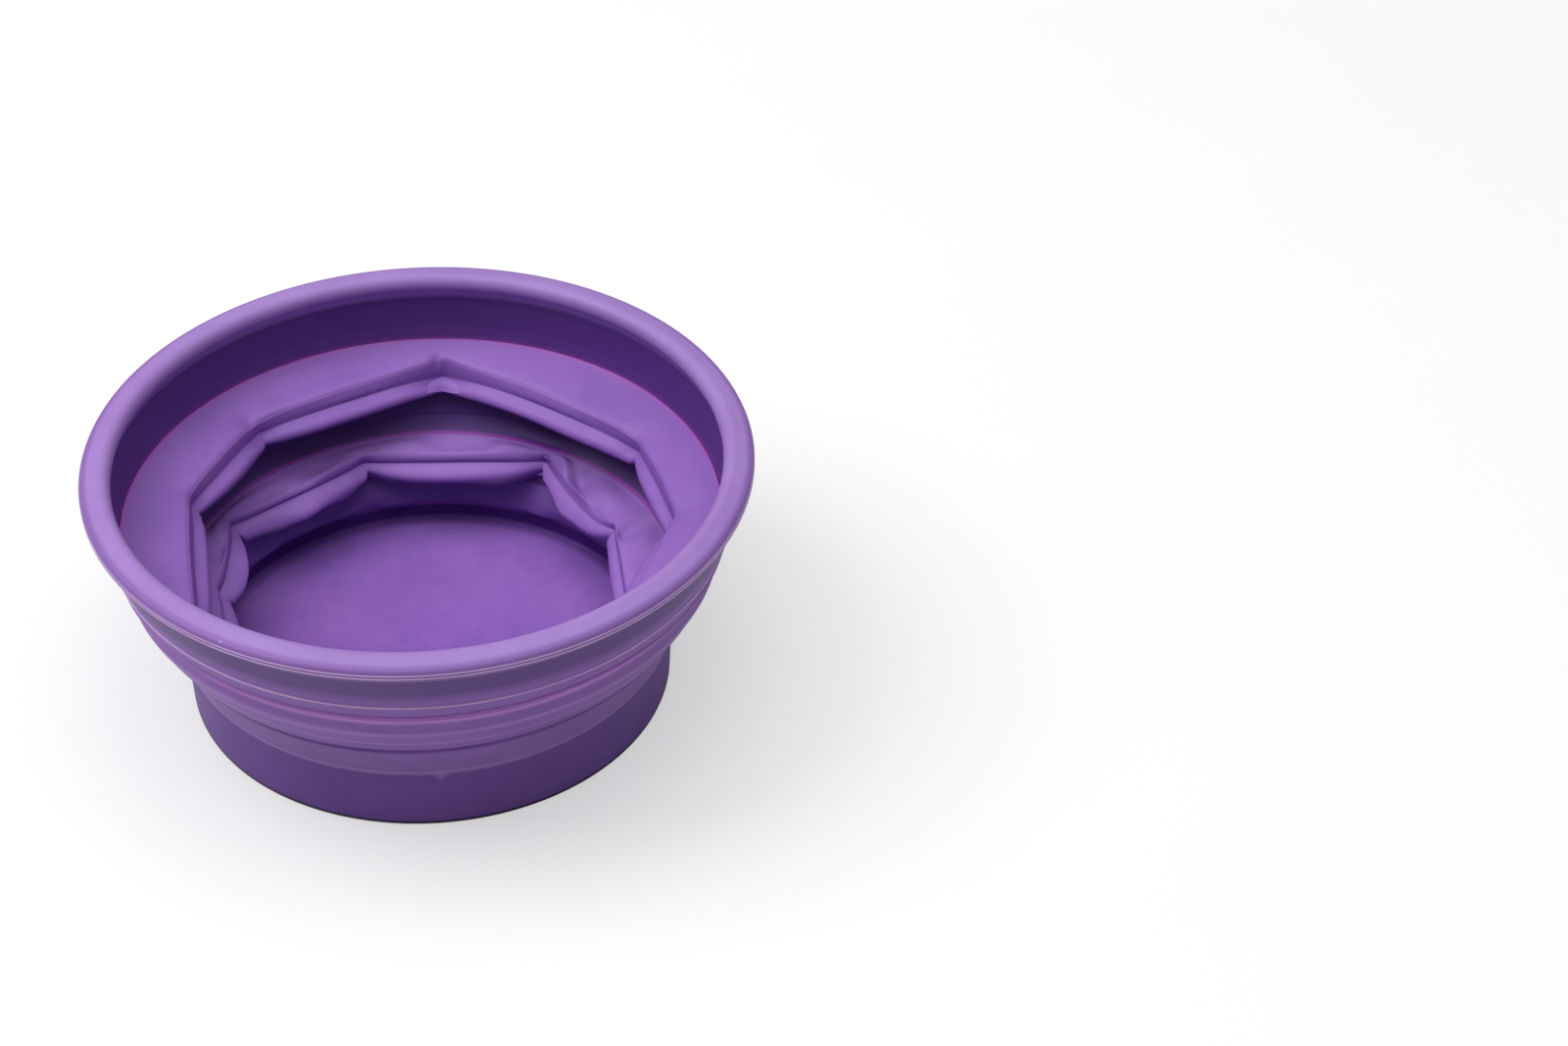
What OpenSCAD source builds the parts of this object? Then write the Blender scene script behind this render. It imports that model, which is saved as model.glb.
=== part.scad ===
// Collapsible silicone bowl, half folded: a foot, three stiff bands and a rolled rim,
// joined by two thin webs that buckle inwards into pleats with straight sides.
// Millimetres. The bowl stands on z = 0 with its axis on Z.

/* [Bowl] */
// outside diameter over the rim
rim_diameter = 150; // [144:1:170]
// outside diameter of the foot where it meets the table
foot_diameter = 110; // [102:0.2:112]
// height of the rim in the half folded state
bowl_height = 62; // [60:1:74]

/* [Walls] */
// thickness of the floor
floor_thickness = 2.4; // [1.6:0.1:3]
// recess under the floor
floor_recess = 0.6; // [0.4:0.1:1.2]
// thickness of the foot wall at the table
foot_thickness = 2.5; // [2.2:0.1:3]
// thickness of the skirt and of the middle band
band_thickness = 1.5; // [1.3:0.05:1.6]
// thickness of the lip under the upper band
lip_thickness = 1.4; // [1.2:0.05:1.6]
// thickness of the two folding webs
web_thickness = 0.95; // [0.8:0.05:1.05]

/* [Rim] */
// width of the rim from its outside to its inside
rim_width = 7; // [6.4:0.1:7.4]
// radius of the outer edge of the rim's top
rim_outer_round = 1.3; // [1:0.1:1.6]
// radius of the inner shoulder of the rim
rim_inner_round = 2.4; // [2.2:0.1:2.6]
// how far the rim's outer edge lies under its crown
rim_fall = 0.9; // [0.6:0.1:1.2]
// how far the rim stands out past the upper band
rim_overhang = 1.9; // [1.6:0.1:2.2]

/* [Folds] */
// how far the lip of the upper pleat stands in from its ridge
upper_lip_reach = 4.6; // [3.6:0.1:5.2]
// how far the lip of the lower pleat stands in from its ridge
lower_lip_reach = 4.4; // [3.6:0.1:4.8]
// how much the lips draw back where a pleat turns a corner
corner_draw = 0.5; // [0.3:0.05:0.6]
// clearance between two bands that pass one another
slide_gap = 0.45; // [0.4:0.05:0.6]
// clearance between a web and the band that moves away from it
web_gap = 0.3; // [0.3:0.05:0.4]

/* [Hidden] */
$fn = 180;
rim_radius = rim_diameter / 2;
foot_radius = foot_diameter / 2;
half_wall = band_thickness / 2;
half_web = web_thickness / 2;
middle_bead = 1;

// levels of the edges, as shares of the height
ring_crease_share = 0.119;
foot_top_share = 0.247;
skirt_low_share = 0.2615;
skirt_top_share = 0.4015;
middle_low_share = 0.44;
middle_top_share = 0.602;
collar_top_share = 0.66;
upper_low_share = 0.6775;
ledge_share = 0.769;
rim_neck = 0.6;

ring_crease_z = bowl_height * ring_crease_share;
foot_top_z = bowl_height * foot_top_share;
skirt_low_z = bowl_height * skirt_low_share;
skirt_top_z = bowl_height * skirt_top_share;
middle_low_z = bowl_height * middle_low_share;
middle_top_z = bowl_height * middle_top_share;
collar_top_z = bowl_height * collar_top_share;
upper_low_z = bowl_height * upper_low_share;
ledge_z = bowl_height * ledge_share;
rim_low_z = bowl_height - 2 * rim_inner_round - rim_neck;

// radii of the outside, from the foot up; what the fixed steps leave is flare
foot_draft = 0.7;
skirt_ledge = 0.7;
ledge_step = 0.35;
flare = rim_radius - foot_radius - foot_draft - skirt_ledge - band_thickness
    - lip_thickness - 2 * slide_gap + ledge_step - rim_overhang;
skirt_flare_share = 0.28;
middle_flare_share = 0.36;
upper_flare_share = 1 - skirt_flare_share - middle_flare_share;
lip_flare_share = 0.29;

foot_top_radius = foot_radius + foot_draft;
skirt_low_radius = foot_top_radius + skirt_ledge;
skirt_top_radius = skirt_low_radius + flare * skirt_flare_share;
middle_inner_radius = skirt_top_radius + slide_gap;
middle_top_radius = middle_inner_radius + band_thickness + flare * middle_flare_share;
lip_inner_radius = middle_top_radius + slide_gap;
upper_low_radius = lip_inner_radius + lip_thickness;
ledge_radius = upper_low_radius + flare * upper_flare_share * lip_flare_share;
band_top_radius = rim_radius - rim_overhang;
foot_inner_radius = foot_radius - foot_thickness;
foot_round = 0.9;
wall_above_crease = 1.9;
rim_inner_radius = rim_radius - rim_width;
upper_wall = 3.2;

// the thin collar that stands on the middle band and closes the pleat's outside
collar_thickness = 0.9;
collar_set_in = 0.05;

// the fine ribs that the mould's parting leaves, and how far they stand out
rib_round = 0.3;
rib_proud = 0.12;
rim_rib_drops = [0.1, 0.9];
// a flat side between two rounds is set this share inside them, so that they join
join_share = 0.99;
rim_side = 1.3;
lip_bead_round = 0.45;
lip_bead_proud = 0.2;

// each pleat's corners, as an angle and the ridge's radius as a share of the radius
// of the band that the pleat grows from
upper_corner_shares = [
    [8, 0.859], [34, 0.881], [90, 0.931], [137, 0.875],
    [172, 0.825], [218, 0.875], [268, 0.915], [318, 0.875]
];
lower_corner_shares = [
    [29, 0.823], [62, 0.886], [111, 0.880], [154, 0.873], [180, 0.823],
    [222, 0.867], [270, 0.880], [312, 0.867], [342, 0.836]
];
edge_steps = 6;
// how far a pleat's side bows out from the straight line between its corners
edge_bow = 1.1;

// each web's middle line from its crease to its root, one entry per bend: the share
// of the way from the crease or the root to the ridge, the share of the lip's reach
// past the ridge, and the level over the root as a share of the bowl's height
upper_web_shares = [
    [0, 0, 0.128], [0.5, 0, 0.116], [1, -0.08, 0.087], [1, 0.2, 0.066],
    [1, -0.05, 0.044], [1, 0.5, 0.032], [1, 1, 0.008], [1, 0.8, -0.016],
    [0.6, 0.3, -0.016]
];
lower_web_shares = [
    [0, 0, 0.029], [0.5, 0, 0.022], [1, -0.08, 0.006], [1, 0.2, -0.016],
    [1, -0.05, -0.038], [1, 0.5, -0.048], [1, 1, -0.072], [1, 0.8, -0.092],
    [0.62, 0.35, -0.055]
];
// the last bend that hangs from the crease; the rest reach out from the root
crease_bends = 4;
// rise of the upper web's crease over the lip, and the run of the lower web's
upper_crease_rise = 2;
lower_crease_run = 1.9;
// where each root meets the band below, as a share of that band's slope
root_share = 0.86;

// an angle's place on the straight side between two corners
function side_radius(from, to, angle) =
    from[1] * to[1] * sin(to[0] - from[0])
    / (from[1] * sin(angle - from[0]) + to[1] * sin(to[0] - angle));
function after(corners, i) = i + 1 < len(corners) ? corners[i + 1]
    : [corners[0][0] + 360, corners[0][1]];
function ridge(corners, radius) = [
    for (i = [0 : len(corners) - 1], j = [0 : edge_steps - 1])
        let (from = corners[i], to = after(corners, i), t = j / edge_steps,
            angle = from[0] + (to[0] - from[0]) * t)
        [angle, radius * side_radius(from, to, angle) + edge_bow * sin(180 * t),
            1 - corner_draw * (1 - sin(180 * t))]
];
function bend(shares, i, turn, crease, root, reach) =
    let (entry = shares[i], side = i < crease_bends ? crease[0] : root[0])
    [side + (turn[1] - side) * entry[0] - reach * turn[2] * entry[1],
        root[1] + bowl_height * entry[2]];
function middle_line(shares, turn, hinge, crease, root, reach) = [
    hinge,
    for (i = [0 : len(shares) - 1]) bend(shares, i, turn, crease, root, reach),
    root
];
function unit(v) = v / norm(v);
function normal_at(line, i) =
    let (a = line[max(i - 1, 0)], b = line[min(i + 1, len(line) - 1)], d = unit(b - a))
    [-d[1], d[0]];
// both faces of a web, whose root is cut to the slope of the band that it grows from
function skin(line, slope) =
    let (last = len(line) - 1,
        side = [for (i = [0 : last]) (i < last ? normal_at(line, i) : slope) * half_web])
    concat([for (i = [0 : last]) line[i] + side[i]],
        [for (i = [last : -1 : 0]) line[i] - side[i]]);
function turned(section, angle) =
    [for (p = section) [p[0] * cos(angle), p[0] * sin(angle), p[1]]];

// a closed ring swept through sections that change as they go round
module pleated_web(corners, radius, shares, hinge, crease, root, slope, reach) {
    sections = [
        for (turn = ridge(corners, radius))
            turned(skin(middle_line(shares, turn, hinge, crease, root, reach), slope),
                turn[0])
    ];
    count = len(sections);
    size = len(sections[0]);
    faces = [
        for (i = [0 : count - 1], j = [0 : size - 1])
            let (a = i * size + j, b = i * size + (j + 1) % size,
                c = ((i + 1) % count) * size + (j + 1) % size,
                d = ((i + 1) % count) * size + j)
            each [[a, c, b], [a, d, c]]
    ];
    polyhedron([for (s = sections) each s], faces, convexity = 8);
}

// the normal of a straight side that touches two circles, on the right or the left
// of the way from the first to the second
function touching(from, to, from_round, to_round, way) =
    let (d = unit(to - from), lean = (from_round - to_round) / norm(to - from))
    [d[1], -d[0]] * way * sqrt(1 - lean * lean) + d * lean;

// the skirt's inside, and the middle band's two edges and its inside
skirt_inside = [
    [foot_top_radius - wall_above_crease, foot_top_z],
    [skirt_top_radius - band_thickness, skirt_top_z - half_wall]
];
middle_low = [middle_inner_radius + middle_bead, middle_low_z + middle_bead];
middle_high = [middle_top_radius - half_wall, middle_top_z - half_wall];
middle_out = touching(middle_low, middle_high, middle_bead, half_wall, 1);
middle_in = touching(middle_low, middle_high, middle_bead, half_wall, -1);
middle_inside = [middle_low + middle_in * middle_bead, middle_high + middle_in * half_wall];
function along(edges) = edges[0] + (edges[1] - edges[0]) * root_share;

// the points of a round edge, from one angle to another
round_steps = 8;
function rounded(centre, radius, from, to) = [
    for (i = [0 : round_steps])
        let (turn = from + (to - from) * i / round_steps)
        centre + radius * [cos(turn), sin(turn)]
];

// a fine rib round the outside
module rib(radius, level, round_radius, proud)
    translate([radius + proud - round_radius, level]) circle(r = round_radius);

module floor_disc() color([0.47, 0.32, 0.65])
    translate([0, 0, floor_recess])
        cylinder(r = foot_inner_radius, h = floor_thickness);

module foot_wall() color([0.40, 0.27, 0.57])
    rotate_extrude() {
        polygon([
            [foot_inner_radius, 0], [foot_radius - foot_round, 0],
            [foot_radius, foot_round], [foot_top_radius, foot_top_z],
            [foot_top_radius - wall_above_crease, foot_top_z],
            [foot_inner_radius, ring_crease_z]
        ]);
        translate([foot_radius - foot_round, foot_round]) circle(r = foot_round);
    }

module skirt_band() color([0.43, 0.30, 0.60])
    rotate_extrude() {
        polygon([
            [foot_top_radius - wall_above_crease, foot_top_z],
            [foot_top_radius, foot_top_z], [skirt_low_radius, skirt_low_z],
            [skirt_top_radius, skirt_top_z - half_wall],
            [skirt_top_radius - band_thickness, skirt_top_z - half_wall]
        ]);
        translate([skirt_top_radius - half_wall, skirt_top_z - half_wall])
            circle(d = band_thickness);
    }

module lower_web() color([0.58, 0.40, 0.75])
    pleated_web(
        lower_corner_shares, skirt_top_radius, lower_web_shares,
        [middle_inner_radius - half_web, middle_low_z + middle_bead],
        [skirt_top_radius - band_thickness - lower_crease_run, skirt_top_z],
        along(skirt_inside), unit(skirt_inside[1] - skirt_inside[0]), lower_lip_reach
    );

module middle_band() color([0.46, 0.32, 0.63]) {
    collar_out = middle_top_radius - collar_set_in;
    collar_in = collar_out - collar_thickness;
    out_turn = atan2(middle_out[1], middle_out[0]);
    in_turn = atan2(middle_in[1], middle_in[0]);
    rotate_extrude() {
        polygon(concat(
            rounded(middle_low, middle_bead, out_turn, in_turn - 360),
            rounded(middle_high, half_wall, in_turn,
                acos((collar_in - middle_high[0]) / half_wall)),
            rounded([collar_out - collar_thickness / 2, collar_top_z - collar_thickness / 2],
                collar_thickness / 2, 180, 0),
            rounded(middle_high, half_wall,
                acos((collar_out - middle_high[0]) / half_wall), out_turn)
        ));
    }
}

module upper_web() color([0.60, 0.42, 0.77]) {
    hinge = [lip_inner_radius - web_gap, upper_low_z + upper_crease_rise];
    pleated_web(
        upper_corner_shares, middle_top_radius, upper_web_shares, hinge,
        [hinge[0] - web_thickness, hinge[1]], along(middle_inside),
        unit(middle_inside[1] - middle_inside[0]), upper_lip_reach
    );
}

module hinge_lip() color([0.50, 0.35, 0.67])
    rotate_extrude() {
        polygon([
            [lip_inner_radius, upper_low_z + lip_thickness / 2],
            [upper_low_radius, upper_low_z + lip_thickness / 2],
            [ledge_radius, ledge_z], [ledge_radius - lip_thickness, ledge_z]
        ]);
        translate([lip_inner_radius + lip_thickness / 2, upper_low_z + lip_thickness / 2])
            circle(d = lip_thickness);
        rib(upper_low_radius, upper_low_z + lip_thickness / 2, lip_bead_round, lip_bead_proud);
    }

module upper_band() color([0.44, 0.30, 0.61])
    rotate_extrude()
        polygon([
            [ledge_radius - lip_thickness, ledge_z], [ledge_radius - ledge_step, ledge_z],
            [band_top_radius, rim_low_z], [band_top_radius - upper_wall, rim_low_z]
        ]);

module rim_bead() color([0.66, 0.54, 0.82]) {
    shoulder = [rim_inner_radius + rim_inner_round, bowl_height - rim_inner_round];
    side = rim_radius - rib_proud;
    edge = [side - rim_outer_round, bowl_height - rim_fall - rim_outer_round];
    top = touching(shoulder, edge, rim_inner_round, rim_outer_round, -1);
    rotate_extrude() {
        translate(shoulder) circle(r = rim_inner_round);
        translate(edge) circle(r = rim_outer_round);
        polygon([
            [band_top_radius - upper_wall, rim_low_z], [band_top_radius, rim_low_z],
            [side, edge[1] - rim_side], [side, edge[1]],
            edge + top * rim_outer_round * join_share,
            shoulder + top * rim_inner_round * join_share,
            [rim_inner_radius, shoulder[1]]
        ]);
        for (drop = rim_rib_drops) rib(side, edge[1] - drop, rib_round, rib_proud);
    }
}

floor_disc();
foot_wall();
skirt_band();
lower_web();
middle_band();
upper_web();
hinge_lip();
upper_band();
rim_bead();
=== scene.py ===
import bpy
import math
import numpy as np
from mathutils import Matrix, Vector


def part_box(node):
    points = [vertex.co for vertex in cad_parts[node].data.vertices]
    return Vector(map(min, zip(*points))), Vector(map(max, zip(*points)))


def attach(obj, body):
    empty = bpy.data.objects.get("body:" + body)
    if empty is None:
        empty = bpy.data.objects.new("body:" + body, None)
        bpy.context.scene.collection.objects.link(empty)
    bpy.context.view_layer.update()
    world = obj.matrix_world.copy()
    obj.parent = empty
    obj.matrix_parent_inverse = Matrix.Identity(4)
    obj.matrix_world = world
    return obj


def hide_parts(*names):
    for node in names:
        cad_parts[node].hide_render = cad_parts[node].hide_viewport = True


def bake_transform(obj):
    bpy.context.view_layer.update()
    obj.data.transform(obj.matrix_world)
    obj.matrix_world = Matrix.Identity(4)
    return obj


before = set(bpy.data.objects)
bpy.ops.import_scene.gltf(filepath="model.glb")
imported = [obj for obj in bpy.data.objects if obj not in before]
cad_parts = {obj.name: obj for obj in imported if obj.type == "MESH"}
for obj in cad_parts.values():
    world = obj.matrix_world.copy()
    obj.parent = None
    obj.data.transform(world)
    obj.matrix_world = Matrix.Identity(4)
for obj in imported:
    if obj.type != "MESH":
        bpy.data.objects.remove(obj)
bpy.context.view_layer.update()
mm = 0.001
tiny = 1e-9  # keeps divisions away from zero
plainTurns, fineTurns, webTurns = 288, 720, 1080  # faces round the axis

# the camera comes from rim ellipses in the photograph
camera = {
    "lens": 90.0,
    "sensor": 36.0,
    "place": (81.5, -696.8, 586.2),  # mm
    "down": 38.0,  # degrees
    "clip": (0.01, 20),  # m
}

camData = bpy.data.cameras.new("studioCamera")
camData.lens = camera["lens"]
camData.sensor_width = camera["sensor"]
camData.clip_start, camData.clip_end = camera["clip"]
cam = bpy.data.objects.new("studioCamera", camData)
cam.location = [v * mm for v in camera["place"]]
cam.rotation_euler = (math.radians(90 - camera["down"]), 0, 0)
bpy.context.scene.collection.objects.link(cam)
bpy.context.scene.camera = cam
print("camera ready")


# mesh helpers: a section is a list of (radius, height) in mm
def arc(centre, radius, first, last, steps=8):
    angles = np.radians(np.linspace(first, last, steps + 1))
    return [(centre[0] + radius * math.cos(a), centre[1] + radius * math.sin(a)) for a in angles]


def onArc(centre, radius, angle):
    return arc(centre, radius, angle, angle, 1)[0]


def between(a, b, shares):
    return [tuple(np.array(a) * (1 - t) + np.array(b) * t) for t in shares]


def stepsFrom(place, steps):
    # each step goes out and up from the same place
    return [(place[0] + out, place[1] + up) for out, up in steps]


def turnFrom(angles, place):
    # degrees from a place, half a turn at most either way
    return (np.degrees(angles) - place + 180) % 360 - 180


def bump(angles, place, width):
    return np.exp(-0.5 * (turnFrom(angles, place) / width) ** 2)


def unitRows(v):
    return v / (np.linalg.norm(v, axis=-1, keepdims=True) + tiny)


def sectionNormals(p):
    # an open section's normals, to the right of its way, each end as its last step
    step = np.empty_like(p)
    step[..., 1:-1, :] = p[..., 2:, :] - p[..., :-2, :]
    step[..., 0, :] = p[..., 1, :] - p[..., 0, :]
    step[..., -1, :] = p[..., -1, :] - p[..., -2, :]
    step = unitRows(step)
    return np.stack([step[..., 1], -step[..., 0]], -1)


def turnedGrid(angles, points):
    c, s = np.cos(angles)[:, None], np.sin(angles)[:, None]
    return np.stack([points[..., 0] * c, points[..., 0] * s, points[..., 1]], -1)


def gridNormals(angles, points):
    # normals of a grid that closes round the axis
    grid = turnedGrid(angles, points)
    along = np.roll(grid, -1, 0) - np.roll(grid, 1, 0)
    return unitRows(np.cross(along, np.gradient(grid, axis=1)))


def runOf(p):
    return np.concatenate([[0], np.cumsum(np.linalg.norm(np.diff(p, axis=0), axis=1))])


def placesOf(section, marks):
    # how far along its section each mark lies, in mm
    run = runOf(np.array(section))
    return {mark: run[i] for mark, i in marks.items()}


def ringMesh(name, strips, body, replaced):
    # each strip: angles, points (turns, n, 2) as radius and height, normals and run; normals are
    # a section's, as the points are, or already turned ones
    verts, shading, faces, uvs, base = [], [], [], [], 0
    for angles, points, normals, run in strips:
        turns, count = points.shape[:2]
        if normals.shape[-1] == 2:
            normals = turnedGrid(angles, normals)
        verts.append(turnedGrid(angles, points).reshape(-1, 3))
        shading.append(normals.reshape(-1, 3))
        i, j = [g.ravel() for g in np.meshgrid(np.arange(turns), np.arange(count - 1), indexing="ij")]
        here, beside = i * count + j, (i + 1) % turns * count + j
        faces.append(base + np.stack([here, beside, beside + 1, here + 1], -1))
        u = np.stack([i, i + 1, i + 1, i], -1) / turns
        v = run[np.stack([j, j, j + 1, j + 1], -1)]
        uvs.append(np.stack([u, v], -1).reshape(-1, 2))
        base += turns * count
    mesh = bpy.data.meshes.new(name)
    mesh.from_pydata((np.concatenate(verts) * mm).tolist(), [], np.concatenate(faces).tolist())
    wallMap = mesh.uv_layers.new(name="wallMap")
    wallMap.data.foreach_set("uv", np.concatenate(uvs).astype(np.float32).ravel())
    mesh.polygons.foreach_set("use_smooth", [True] * len(mesh.polygons))
    mesh.update()
    mesh.normals_split_custom_set_from_vertices(unitRows(np.concatenate(shading)).tolist())
    obj = bpy.data.objects.new(name, mesh)
    bpy.context.scene.collection.objects.link(obj)
    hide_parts(*replaced)
    if body:
        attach(obj, body)
    print("made", name, len(mesh.polygons), "faces")
    return obj


def turnedStrips(section, marks, *ends, turns=plainTurns):
    # stretches of one section from mark to mark, turned about the axis, with its own normals
    p = np.asarray(section, float)
    n, run = sectionNormals(p), runOf(p)
    angles = np.linspace(0, 2 * np.pi, turns, endpoint=False)
    rows = [slice(marks[a], marks[b] + 1) for a, b in ends]
    return [
        (angles, np.repeat(p[None, r], turns, 0), np.repeat(n[None, r], turns, 0), run[r]) for r in rows
    ]


# sizes that the frame gives, in mm
def span(node):
    low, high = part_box(node)
    return (round(max(high.x, -low.x, high.y, -low.y) / mm, 2), low.z / mm, high.z / mm)


footRadius, _, footTop = span("foot_wall")
skirtRadius, _, skirtTop = span("skirt_band")
middleRadius, middleLow, middleTop = span("middle_band")
lipRadius, lipLow, ledgeLevel = span("hinge_lip")
bandRadius, _, rimLow = span("upper_band")
rimRadius, _, rimTop = span("rim_bead")
_, floorLow, floorTop = span("floor_disc")
print("frame sizes", footRadius, skirtRadius, middleRadius, lipRadius, bandRadius, rimRadius)

# the top body: hinge lip, upper band and rim are stretches of one closed section
# in these forms sizes are in mm, lists of pairs are steps out and up from a corner, sweeps are
# in degrees and shares are of the way from one end to the other
hingeLipForm = {
    "thickness": 1.4,
    "flare": 1.38,
    "edgeSweep": (-90, -48),
    "bead": 0.45,
    "beadProud": 0.2,
    "beadLift": 0.05,
    "beadSweep": (-50, 78),
    "faceSetIn": 0.06,
    "faceRise": 1.35,  # from the lower edge up to the face
    "faceFall": 0.3,  # from the ledge down to the face
    "faceShares": (0, 0.2, 0.6, 1),
    "ledgeDrop": 0.8,  # the outer ledge lies this far under the inner one
    "ledgeCorner": [(0, -0.12), (-0.05, -0.02)],
    "innerSetIn": 0.1,
    "innerShares": (0.3, 0.6, 0.9),
}
upperBandForm = {
    "thickness": 3.2,
    "ledgeStep": 0.35,
    "ledgeRound": [(0.1, 0.02), (0.03, 0.14)],
    "faceShares": (0.05, 0.2, 0.5, 0.85, 1),
    "innerTop": [(-0.3, -1.8)],
    "innerLow": 0.4,  # over the inner ledge
    "innerShares": (0, 0.25, 0.5, 0.75, 1),
}
rimBeadForm = {
    "width": 7.0,
    "fall": 0.9,  # from the top down to the outer round
    "outerRound": 1.3,
    "outerSweep": (18, 74),
    "innerRound": 2.4,
    "innerSweep": (74, 206),
    "topShares": (0.3, 0.7),
    "side": 1.3,
    "underStart": [(0.3, -1.05)],
    "underRound": [(-0.75, -0.42), (-0.18, -0.1), (-0.02, 0.08)],
    "neckSteps": [(-1.25, 1.35), (-0.75, 0.55), (-0.4, -0.3), (-0.28, -1.3)],
    "ribDrops": (0.9, 0.1),  # how far under the edge's centre the two fine mould lines lie
    "ribProud": 0.12,
    "ribHalf": [(0, 0.3), (0.25, 0.2), (1, 0.07)],  # share of ribProud, mm from the rib's middle
}


def topSection(lip, band, rim):
    # from the outside of the lip's lower edge up round the rim and down the inside
    half = lip["thickness"] / 2
    lowRadius = lipRadius - lip["flare"]
    foot = (lowRadius - half, lipLow + half)
    bead = (lowRadius + lip["beadProud"] - lip["bead"], foot[1] + lip["beadLift"])
    s = arc(foot, half, *lip["edgeSweep"], 4) + arc(bead, lip["bead"], *lip["beadSweep"], 10)
    marks = {"start": 0, "bead": len(s) - 6}
    ledge = (lipRadius, ledgeLevel - lip["ledgeDrop"])
    faceLow = (lowRadius + lip["faceSetIn"], lipLow + lip["faceRise"])
    faceHigh = (ledge[0] - lip["faceSetIn"], ledge[1] - lip["faceFall"])
    s += between(faceLow, faceHigh, lip["faceShares"]) + stepsFrom(ledge, lip["ledgeCorner"])
    marks["ledgeOut"] = len(s) - 1
    bandLow = (ledge[0] - band["ledgeStep"], ledge[1])
    s += stepsFrom(bandLow, band["ledgeRound"])
    s += between(bandLow, (bandRadius, rimLow), band["faceShares"])
    marks["rimOut"] = len(s) - 1
    side = rimRadius - rim["ribProud"]
    edge = (side - rim["outerRound"], rimTop - rim["fall"] - rim["outerRound"])
    under = edge[1] - rim["side"]
    s += stepsFrom((bandRadius, under), rim["underStart"]) + stepsFrom((side, under), rim["underRound"])
    for number, drop in enumerate(rim["ribDrops"]):
        level = edge[1] - drop
        s += [(side + rim["ribProud"] * share, level - up) for share, up in rim["ribHalf"]]
        marks["rib" + str(number)] = len(s)
        s += [(side + rim["ribProud"] * share, level + up) for share, up in reversed(rim["ribHalf"])]
    marks["rimEdge"] = len(s)
    s += arc(edge, rim["outerRound"], *rim["outerSweep"], 10)
    inner = (rimRadius - rim["width"] + rim["innerRound"], rimTop - rim["innerRound"])
    s += between(s[-1], onArc(inner, rim["innerRound"], rim["innerSweep"][0]), rim["topShares"])
    s += arc(inner, rim["innerRound"], *rim["innerSweep"], 24)
    neck = (bandRadius - band["thickness"], rimLow)
    s += stepsFrom(neck, rim["neckSteps"])
    marks["rimIn"] = len(s) - 1
    ledgeIn = lipRadius - lip["thickness"]
    innerTop = stepsFrom(neck, band["innerTop"])[0]
    s += between(innerTop, (ledgeIn, ledgeLevel + band["innerLow"]), band["innerShares"])
    s += [(ledgeIn - lip["innerSetIn"], ledgeLevel)]
    marks["ledgeIn"] = len(s) - 1
    s += between(s[-1], (foot[0] - half, foot[1]), lip["innerShares"]) + arc(foot, half, 180, 270, 6)
    marks["end"] = len(s) - 1
    return s, marks


topPath, topMarks = topSection(hingeLipForm, upperBandForm, rimBeadForm)
topPlace = placesOf(topPath, topMarks)
hingeLip = ringMesh(
    "hingeLip", turnedStrips(topPath, topMarks, ("start", "ledgeOut"), ("ledgeIn", "end")),
    "top", ["hinge_lip"],
)
upperBand = ringMesh(
    "upperBand", turnedStrips(topPath, topMarks, ("ledgeOut", "rimOut"), ("rimIn", "ledgeIn")),
    "top", ["upper_band"],
)
rimBead = ringMesh(
    "rimBead", turnedStrips(topPath, topMarks, ("rimOut", "rimIn")), "top", ["rim_bead"]
)

# the middle band leans outwards over a round lower bead; a collar stands on its top
middleBandForm = {
    "bead": 0.75,
    "beadBottom": -100,  # degrees
    "gap": 0.12,  # from the skirt to the bead
    "half": 0.75,  # of the wall's thickness
    "top": 37.32,
    "faceShares": (0.25, 0.4, 0.47, 0.5, 0.53, 0.75),
    "proudShares": (0.35, 0.6, 0.8, 1.5, 0.9, 0.45),  # of lineProud, most at the raised line
    "lineProud": 0.14,
    "shoulderEnd": 42,  # degrees
    "collar": 0.45,
    "collarSetIn": 0.05,
    "collarSide": [(0.12, 0.1), (0.1, 0.7), (0.3, 1.6)],
    "collarSweep": (-10, 190),
    "collarBack": 0.2,
    "backShares": (0.3, 0.6),
}


def middleSection(w):
    low = (skirtRadius + w["gap"] + w["bead"], middleLow + w["bead"])
    high = (middleRadius - w["half"], w["top"] - w["half"])
    lean = -math.degrees(math.atan2(high[0] - low[0], high[1] - low[1]))
    s = arc(low, w["bead"], w["beadBottom"], lean)
    face = between(s[-1], onArc(high, w["half"], lean), w["faceShares"])
    outwards = np.array(onArc((0, 0), w["lineProud"], lean))
    marks = {"start": 0, "bead": len(s) - 1}
    marks["line"] = len(s) + w["proudShares"].index(max(w["proudShares"]))
    s += [tuple(np.array(p) + outwards * share) for p, share in zip(face, w["proudShares"])]
    s += arc(high, w["half"], lean, w["shoulderEnd"], 10)
    marks["shoulder"] = len(s) - 6
    edge = (middleRadius - w["collarSetIn"] - w["collar"], middleTop - w["collar"])
    s += stepsFrom((edge[0], w["top"]), w["collarSide"])
    marks["collar"] = len(s) + 2
    s += arc(edge, w["collar"], *w["collarSweep"], 12)
    marks["inside"] = len(s) - 4
    back = onArc(high, w["half"], 180 + lean)
    inside = arc(low, w["bead"], 180 + lean, 360 + w["beadBottom"])
    s += [(edge[0] - w["collar"], w["top"] + w["collarBack"]), back]
    s += between(back, inside[0], w["backShares"]) + inside
    marks["end"] = len(s) - 1
    return s, marks


middlePath, middleMarks = middleSection(middleBandForm)
middlePlace = placesOf(middlePath, middleMarks)
middleBand = ringMesh(
    "middleBand", turnedStrips(middlePath, middleMarks, ("start", "end")),
    "middle", ["middle_band"],
)

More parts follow.
